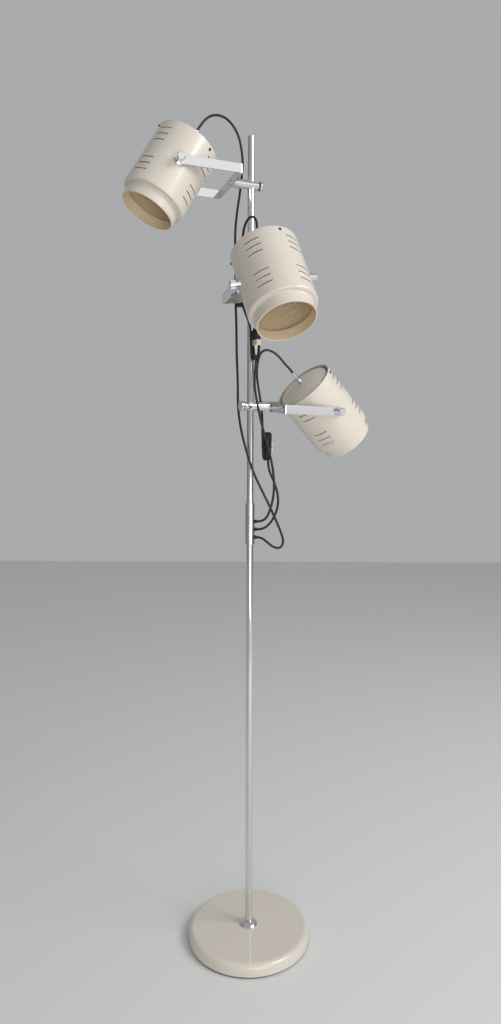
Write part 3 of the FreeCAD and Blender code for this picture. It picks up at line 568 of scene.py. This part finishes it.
def route_line(name, points):
    """The points of a smooth line drawn by the route's own control points."""
    curve = bpy.data.curves.new(name + "_route", "CURVE")
    curve.dimensions = "3D"
    curve.resolution_u = LINE_STEPS
    spline = curve.splines.new("NURBS")
    spline.points.add(len(points) - 1)
    for spot, point in zip(spline.points, points):
        spot.co = (*point, 1.0)
    spline.order_u = LINE_ORDER
    spline.use_endpoint_u = True
    holder = bpy.data.objects.new(name + "_route", curve)
    bpy.context.scene.collection.objects.link(holder)
    bpy.context.view_layer.update()
    drawn = holder.evaluated_get(bpy.context.evaluated_depsgraph_get())
    mesh = bpy.data.meshes.new_from_object(drawn)
    line = [vertex.co.copy() for vertex in mesh.vertices]
    bpy.data.meshes.remove(mesh)
    bpy.data.objects.remove(holder)
    bpy.data.curves.remove(curve)
    return line


def line_length(line):
    return sum((b - a).length for a, b in zip(line, line[1:]))


def line_frames(line):
    """Two directions across the line at each point, carried along it without a twist."""
    tangents = []
    for i in range(len(line)):
        before, after = line[max(i - 1, 0)], line[min(i + 1, len(line) - 1)]
        tangents.append((after - before).normalized())
    side = tangents[0].orthogonal().normalized()
    frames = []
    for i, tangent in enumerate(tangents):
        if i:
            side = tangents[i - 1].rotation_difference(tangent) @ side
        side = (side - tangent * side.dot(tangent)).normalized()
        frames.append((side, tangent.cross(side)))
    return frames


def tube(name, line, frames, radius, sides):
    """A mesh tube along a line, closed at both ends."""
    verts = []
    for centre, (side, other) in zip(line, frames):
        for k in range(sides):
            turn = 2 * math.pi * k / sides
            verts.append(centre + (side * math.cos(turn) + other * math.sin(turn)) * radius)
    faces = []
    for ring in range(len(line) - 1):
        for k in range(sides):
            a, b = ring * sides + k, ring * sides + (k + 1) % sides
            faces.append((a, b, b + sides, a + sides))
    last = (len(line) - 1) * sides
    faces.append(tuple(reversed(range(sides))))
    faces.append(tuple(range(last, last + sides)))
    mesh = bpy.data.meshes.new(name)
    mesh.from_pydata([tuple(v) for v in verts], [], faces)
    mesh.polygons.foreach_set("use_smooth", [len(face) == 4 for face in faces])
    mesh.update()
    thing = bpy.data.objects.new(name, mesh)
    bpy.context.scene.collection.objects.link(thing)
    thing.data.materials.append(material("black_cord"))
    return thing


def body_name(head, short):
    return "stand" if short is None else "%s_%s" % (head, short)


def lay_cord(name, looks):
    """Lay one free cord in stretches that meet ring to ring."""
    head = name.split("_")[0]
    line = route_line(name, ROUTES[name])
    frames = line_frames(line)
    total = line_length(line)
    gone = [0.0]
    for a, b in zip(line, line[1:]):
        gone.append(gone[-1] + (b - a).length)
    start = 0
    stretches = STRETCHES[name]
    for number, ((first, second), share) in enumerate(stretches, 1):
        end = min(range(len(line)), key=lambda i: abs(gone[i] - share * total))
        part = line[start:end + 1]
        piece = tube("%s_%d" % (name.replace("cord", "lead"), number), part,
                     frames[start:end + 1], looks.cord_width / 2, looks.cord_sides)
        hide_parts(name)
        if first == second:
            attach(piece, body_name(head, first))
        else:
            body_name(head, first)
            body_name(head, second)
            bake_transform(piece)
        if name == "upper_cord" and number == len(stretches):
            tag("upper_cord_clip", CLIP_TOP, CLIP_SIZE, CLIP_TAPER, "black_plastic",
                             "stand")
        start = end


def run_points(spot, way, length):
    """Points down or up a hank's straight run, after its first."""
    return [spot + way * (length * k / BEND_POINTS) for k in range(1, BEND_POINTS + 1)]


def quarter_points(spot, ahead, side, radius):
    """Points of a quarter turn from one direction to another, after its first."""
    angles = [math.pi / 2 * k / BEND_POINTS for k in range(1, BEND_POINTS + 1)]
    return [spot + ahead * (radius * math.sin(angle)) + side * (radius * (1 - math.cos(angle)))
            for angle in angles]


def hank_route(start, run, turn, lean):
    """Control points of long loops hung side by side: down, round, up and round again."""
    across = Vector((math.cos(HANK_BEARING), math.sin(HANK_BEARING), 0.0))
    step = Vector((-across.y, across.x, 0.0)) * lean
    down = (step - Vector((0.0, 0.0, 1.0))).normalized()
    up = (step + Vector((0.0, 0.0, 1.0))).normalized()
    points = [Vector(start)]
    for _ in range(HANK_RUNS_DOWN - 1):
        points += run_points(points[-1], down, run)
        points += quarter_points(points[-1], down, across, turn)
        points += quarter_points(points[-1], across, up, turn)
        points += run_points(points[-1], up, run)
        points += quarter_points(points[-1], up, -across, turn)
        points += quarter_points(points[-1], -across, down, turn)
    return points + run_points(points[-1], down, run)


def strands(line, height):
    """Where a hank's strands cross a height."""
    return [a.lerp(b, (height - a.z) / (b.z - a.z)) for a, b in zip(line, line[1:])
            if min(a.z, b.z) <= height < max(a.z, b.z)]


def band(name, hank, line, height, reach):
    """A flat band of a height, drawn tight round some strands of a hank."""
    about = BANDS[hank]
    verts = []
    for level in (about["low"], about["low"] + height):
        spots = [strands(line, level)[k] for k in about["chosen"]]
        for out in (reach, reach + about["thickness"]):
            for k in range(BAND_SIDES):
                turn = 2 * math.pi * k / BAND_SIDES
                way = Vector((math.cos(turn), math.sin(turn), 0.0))
                verts.append(max(spots, key=way.dot) + way * out)
    inner_low, outer_low, inner_high, outer_high = (BAND_SIDES * ring for ring in range(4))
    around = (inner_low, outer_low, outer_high, inner_high)
    faces = []
    for a, b in zip(around, around[1:] + around[:1]):
        for k in range(BAND_SIDES):
            after = (k + 1) % BAND_SIDES
            faces.append((a + k, b + k, b + after, a + after))
    return solid(name, verts, faces, about["colour"], HANK_BODIES[hank])


def solid(name, verts, faces, colour, body):
    """A mesh piece that stays with one body, in one finish."""
    mesh = bpy.data.meshes.new(name)
    mesh.from_pydata([tuple(vert) for vert in verts], [], faces)
    mesh.update()
    work = bmesh.new()
    work.from_mesh(mesh)
    bmesh.ops.recalc_face_normals(work, faces=work.faces)
    work.to_mesh(mesh)
    work.free()
    piece = bpy.data.objects.new(name, mesh)
    bpy.context.scene.collection.objects.link(piece)
    mesh.materials.append(material(colour))
    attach(piece, body)
    return piece


def tag(name, top, size, taper, colour, body):
    """A small block that hangs from a height, such as an end of tape, narrower at its foot."""
    width, depth, height = size
    verts = []
    for drop, share in ((0.0, 1.0), (height, taper)):
        half = width * share / 2
        for x, y in ((-half, 0), (half, 0), (half, depth), (-half, depth)):
            verts.append(Vector(top) + Vector((x, y, -drop)))
    faces = [(0, 1, 2, 3), (7, 6, 5, 4), (0, 4, 5, 1), (1, 5, 6, 2), (2, 6, 7, 3), (3, 7, 4, 0)]
    return solid(name, verts, faces, colour, body)


def hank_ties(name, line, looks):
    """The band round a hank, and the loose ends of its tape."""
    reach = looks.cord_width / 2 + BAND_GAP
    body = HANK_BODIES[name]
    if name == "upper_hank":
        wrap = band("upper_tie", name, line, looks.tie_height, reach)
        front = min(vert.co.y for vert in wrap.data.vertices)
        end_x, end_z = UPPER_END_PLACE
        return [wrap, tag("upper_tie_end", (end_x, front + BAND_GAP, end_z), UPPER_END_SIZE,
                          UPPER_END_TAPER, "tie_end", body)]
    wrap = band("lower_tie", name, line, LOWER_BAND_HEIGHT, reach)
    right = max(vert.co.x for vert in wrap.data.vertices)
    return [wrap] + [tag("lower_tie_end_%d" % number, (right + out, 0.0, top),
                         (LOWER_END_WIDTH, LOWER_END_DEPTH, drop), LOWER_END_TAPER, "tie_end",
                         body)
                     for number, (out, top, drop) in enumerate(LOWER_ENDS, 1)]


def lay_hank(name, looks):
    line = route_line(name, hank_route(**HANKS[name]))
    piece = tube(name + "_loops", line, line_frames(line), looks.cord_width / 2, looks.cord_sides)
    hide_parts(name)
    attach(piece, HANK_BODIES[name])
    hank_ties(name, line, looks)


class LAMP_OT_cords(bpy.types.Operator):
    """Lay the three free cords from the glands to the sleeve"""

    bl_idname = "lamp.cords"
    bl_label = "Cords"

    def execute(self, context):
        for name in ROUTES:
            lay_cord(name, context.scene.lamp_looks)
        return {"FINISHED"}


class LAMP_OT_hanks(bpy.types.Operator):
    """Wind the slack of the middle and the lower cord into hanks"""

    bl_idname = "lamp.hanks"
    bl_label = "Hanks"

    def execute(self, context):
        for name in HANKS:
            lay_hank(name, context.scene.lamp_looks)
        return {"FINISHED"}


# ---------------------------------------------------------------- knurls, and painted shade in the screws' recesses

def bar_ring_tree():
    """Geometry nodes that set like bars round an axis, such as a knurl, or the cross of painted shade on a screw
    head.
    """
    tree = bpy.data.node_groups.new("bar_ring", "GeometryNodeTree")
    inputs = (("Count", "NodeSocketInt", 4), ("Radius", "NodeSocketFloat", 0.001),
              ("Radial", "NodeSocketFloat", 0.001), ("Across", "NodeSocketFloat", 0.001),
              ("Axial", "NodeSocketFloat", 0.001), ("Material", "NodeSocketMaterial", None))
    for name, kind, default in inputs:
        socket = tree.interface.new_socket(name, in_out="INPUT", socket_type=kind)
        if default is not None:
            socket.default_value = default
    tree.interface.new_socket("Geometry", in_out="OUTPUT", socket_type="NodeSocketGeometry")
    source = tree.nodes.new("NodeGroupInput")
    circle = tree.nodes.new("GeometryNodeMeshCircle")
    size = tree.nodes.new("ShaderNodeCombineXYZ")
    bar = tree.nodes.new("GeometryNodeMeshCube")
    spot = tree.nodes.new("GeometryNodeInputPosition")
    turn = tree.nodes.new("FunctionNodeAlignRotationToVector")
    turn.axis = "X"
    copies = tree.nodes.new("GeometryNodeInstanceOnPoints")
    real = tree.nodes.new("GeometryNodeRealizeInstances")
    coat = tree.nodes.new("GeometryNodeSetMaterial")
    out = tree.nodes.new("NodeGroupOutput")
    for start, end in (
            (source.outputs["Count"], circle.inputs["Vertices"]),
            (source.outputs["Radius"], circle.inputs["Radius"]),
            (source.outputs["Radial"], size.inputs["X"]),
            (source.outputs["Across"], size.inputs["Y"]),
            (source.outputs["Axial"], size.inputs["Z"]),
            (size.outputs["Vector"], bar.inputs["Size"]),
            (spot.outputs["Position"], turn.inputs["Vector"]),
            (circle.outputs["Mesh"], copies.inputs["Points"]),
            (bar.outputs["Mesh"], copies.inputs["Instance"]),
            (turn.outputs["Rotation"], copies.inputs["Rotation"]),
            (copies.outputs["Instances"], real.inputs["Geometry"]),
            (real.outputs["Geometry"], coat.inputs["Geometry"]),
            (source.outputs["Material"], coat.inputs["Material"]),
            (coat.outputs["Geometry"], out.inputs["Geometry"])):
        tree.links.new(start, end)
    return tree


def bar_rings(name, tree, values, frames, body):
    """One piece of several rings of bars, each about the local Z of a frame."""
    seed = bpy.data.meshes.new(name + "_seed")
    holder = bpy.data.objects.new(name + "_seed", seed)
    bpy.context.scene.collection.objects.link(holder)
    modifier = holder.modifiers.new("bars", "NODES")
    modifier.node_group = tree
    for item in tree.interface.items_tree:
        if item.in_out == "INPUT":
            modifier[item.identifier] = values[item.name]
    bpy.context.view_layer.update()
    drawn = holder.evaluated_get(bpy.context.evaluated_depsgraph_get())
    ring = bpy.data.meshes.new_from_object(drawn)
    holder.modifiers.remove(modifier)
    bpy.data.objects.remove(holder)
    work = bmesh.new()
    for place in frames:
        copy = ring.copy()
        copy.transform(place)
        work.from_mesh(copy)
        bpy.data.meshes.remove(copy)
    mesh = bpy.data.meshes.new(name)
    work.to_mesh(mesh)
    work.free()
    mesh.materials.append(values["Material"])
    piece = bpy.data.objects.new(name, mesh)
    bpy.context.scene.collection.objects.link(piece)
    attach(piece, body)


def facing(spot, way):
    """A frame at a point, with its local Z along a direction."""
    return Matrix.Translation(spot) @ way.to_track_quat("Z", "Y").to_matrix().to_4x4()


def node_points(node):
    return [vertex.co.copy() for vertex in frame["nodes"][node].data.vertices]


def screw_tops(head):
    """The middle of each cap screw's outer face, and its direction out of the shade."""
    pivot, axis = shade_line(head)
    points = node_points(head + "_cap_screws")

    def out(point):
        away = point - pivot
        return away - axis * away.dot(axis)

    far = max(out(point).length for point in points)
    tops = [point for point in points if out(point).length > far - SCREW_TOP_DEPTH]
    groups = []
    for point in tops:
        near = [group for group in groups if (group[0] - point).length < SCREW_SPREAD]
        if near:
            near[0].append(point)
        else:
            groups.append([point])
    middles = [sum(group, Vector()) / len(group) for group in groups]
    return [(middle, out(middle).normalized()) for middle in middles]


def knob_frame(head, side):
    """The middle of a thumb knob's barrel, and its axis."""
    joint = next(joint for joint in frame["joints"]
                 if joint["name"] == "%s_thumb_%s_turn" % (head, side))
    axis = Vector(joint["axis"]).normalized()
    pivot = Vector(joint["pos_m"])
    reach = [(point - pivot).dot(axis) for point in node_points("%s_pivot_knob_%s" % (head, side))]
    outer = max(reach, key=abs)
    middle = outer - math.copysign(KNOB_BARREL / 2, outer)
    return pivot + axis * middle, axis


class LAMP_OT_knurls(bpy.types.Operator):
    """Set knurls round the thumb knobs, and lay painted shade in the cap screws' cross recesses"""

    bl_idname = "lamp.knurls"
    bl_label = "Knurls and recesses"

    def execute(self, context):
        tree = bar_ring_tree()
        looks = context.scene.lamp_looks
        for head in HEADS:
            for side in ("left", "right"):
                bar_rings("%s_knurl_%s" % (head, side), tree, {
                    "Count": looks.knurl_count, "Radius": KNOB_RADIUS, "Radial": RIDGE_HEIGHT,
                    "Across": RIDGE_WIDTH, "Axial": RIDGE_LENGTH,
                    "Material": material("chrome")},
                    [facing(*knob_frame(head, side))], "%s_thumb_%s" % (head, side))
            # The cross on each cap screw is a thin near-black sheet of painted shade for its recessed cross.
            bar_rings(head + "_screw_recesses", tree, {
                "Count": RECESS_ARMS, "Radius": RECESS_REACH / 2, "Radial": RECESS_REACH,
                "Across": RECESS_WIDTH, "Axial": RECESS_DEPTH, "Material": material("recess")},
                [facing(spot, way) for spot, way in screw_tops(head)], head + "_head")
        return {"FINISHED"}


# ---------------------------------------------------------------- stage

def aim(thing, target):
    """Turn a light towards a point."""
    way = Vector(target) - thing.location
    thing.rotation_euler = way.to_track_quat("-Z", "Y").to_euler()


def soft_light(name, place, target, size, power):
    data = bpy.data.lights.new(name, "AREA")
    data.shape = "RECTANGLE"
    data.size, data.size_y = size
    data.energy = power
    light = bpy.data.objects.new(name, data)
    bpy.context.scene.collection.objects.link(light)
    light.location = place
    aim(light, target)


def surroundings(looks):
    """Light from all round, dimmer from the two sides so that chrome shows its form."""
    world = bpy.data.worlds.new("surroundings")
    world.use_nodes = True
    tree = world.node_tree
    direction = tree.nodes.new("ShaderNodeTexCoord").outputs["Generated"]
    split = tree.nodes.new("ShaderNodeSeparateXYZ")
    tree.links.new(direction, split.inputs["Vector"])
    aside = Field(tree, split.outputs["X"])
    square = aside * aside
    back = tree.nodes["Background"]
    plug(tree, back.inputs["Color"], tuple(looks.world))
    plug(tree, back.inputs["Strength"],
         looks.world_strength * (1.0 - looks.side_dimming * (square * square)))
    return world


class LAMP_OT_stage(bpy.types.Operator):
    """Make the floor, the lights, the surroundings and the camera"""

    bl_idname = "lamp.stage"
    bl_label = "Stage"

    def execute(self, context):
        scene = context.scene
        looks = scene.stage_looks
        mesh = bpy.data.meshes.new("floor")
        corners = [(x * FLOOR_REACH, y * FLOOR_REACH, 0.0)
                   for x, y in ((-1, -1), (1, -1), (1, 1), (-1, 1))]
        mesh.from_pydata(corners, [], [(0, 1, 2, 3)])
        floor = bpy.data.objects.new("floor", mesh)
        scene.collection.objects.link(floor)
        shader = Shader("floor")
        floor.data.materials.append(shader.finish(Base_Color=tuple(looks.floor), Roughness=0.7))

        scene.world = surroundings(looks)
        for name, (place, target, size) in LIGHTS.items():
            soft_light(name, place, target, size, getattr(looks, name + "_power"))

        data = bpy.data.cameras.new("camera")
        data.sensor_fit = "VERTICAL"
        data.sensor_height = SENSOR
        data.lens = SENSOR * FOCAL_PIXELS / PHOTO_HEIGHT
        data.shift_x = (PHOTO_WIDTH / 2 - POLE_COLUMN) / PHOTO_HEIGHT
        data.shift_y = (HORIZON_ROW - PHOTO_HEIGHT / 2) / PHOTO_HEIGHT
        camera = bpy.data.objects.new("camera", data)
        scene.collection.objects.link(camera)
        camera.location = (0.0, -looks.camera_distance, looks.camera_height)
        camera.rotation_euler = (math.pi / 2, looks.camera_roll, 0.0)
        scene.camera = camera
        scene.view_settings.view_transform = "Standard"
        return {"FINISHED"}


class LAMP_PT_panel(bpy.types.Panel):
    """The lamp's pieces and settings"""

    bl_label = "Floor lamp"
    bl_idname = "LAMP_PT_panel"
    bl_space_type = "VIEW_3D"
    bl_region_type = "UI"
    bl_category = "Floor lamp"

    def draw(self, context):
        for operator in OPERATORS:
            self.layout.operator(operator.bl_idname)
        for looks in (context.scene.lamp_looks, context.scene.stage_looks):
            for name in looks.__annotations__:
                self.layout.prop(looks, name)


OPERATORS = (LAMP_OT_finishes, LAMP_OT_cords, LAMP_OT_hanks, LAMP_OT_knurls, LAMP_OT_stage)
CLASSES = (LampLooks, StageLooks) + OPERATORS + (LAMP_PT_panel,)


def register():
    for cls in CLASSES:
        bpy.utils.register_class(cls)
    bpy.types.Scene.lamp_looks = bpy.props.PointerProperty(type=LampLooks)
    bpy.types.Scene.stage_looks = bpy.props.PointerProperty(type=StageLooks)


def unregister():
    del bpy.types.Scene.stage_looks
    del bpy.types.Scene.lamp_looks
    for cls in reversed(CLASSES):
        bpy.utils.unregister_class(cls)


def main():
    register()
    bpy.ops.lamp.finishes()
    bpy.ops.lamp.cords()
    bpy.ops.lamp.hanks()
    bpy.ops.lamp.knurls()
    bpy.ops.lamp.stage()


if __name__ == "__main__":
    main()
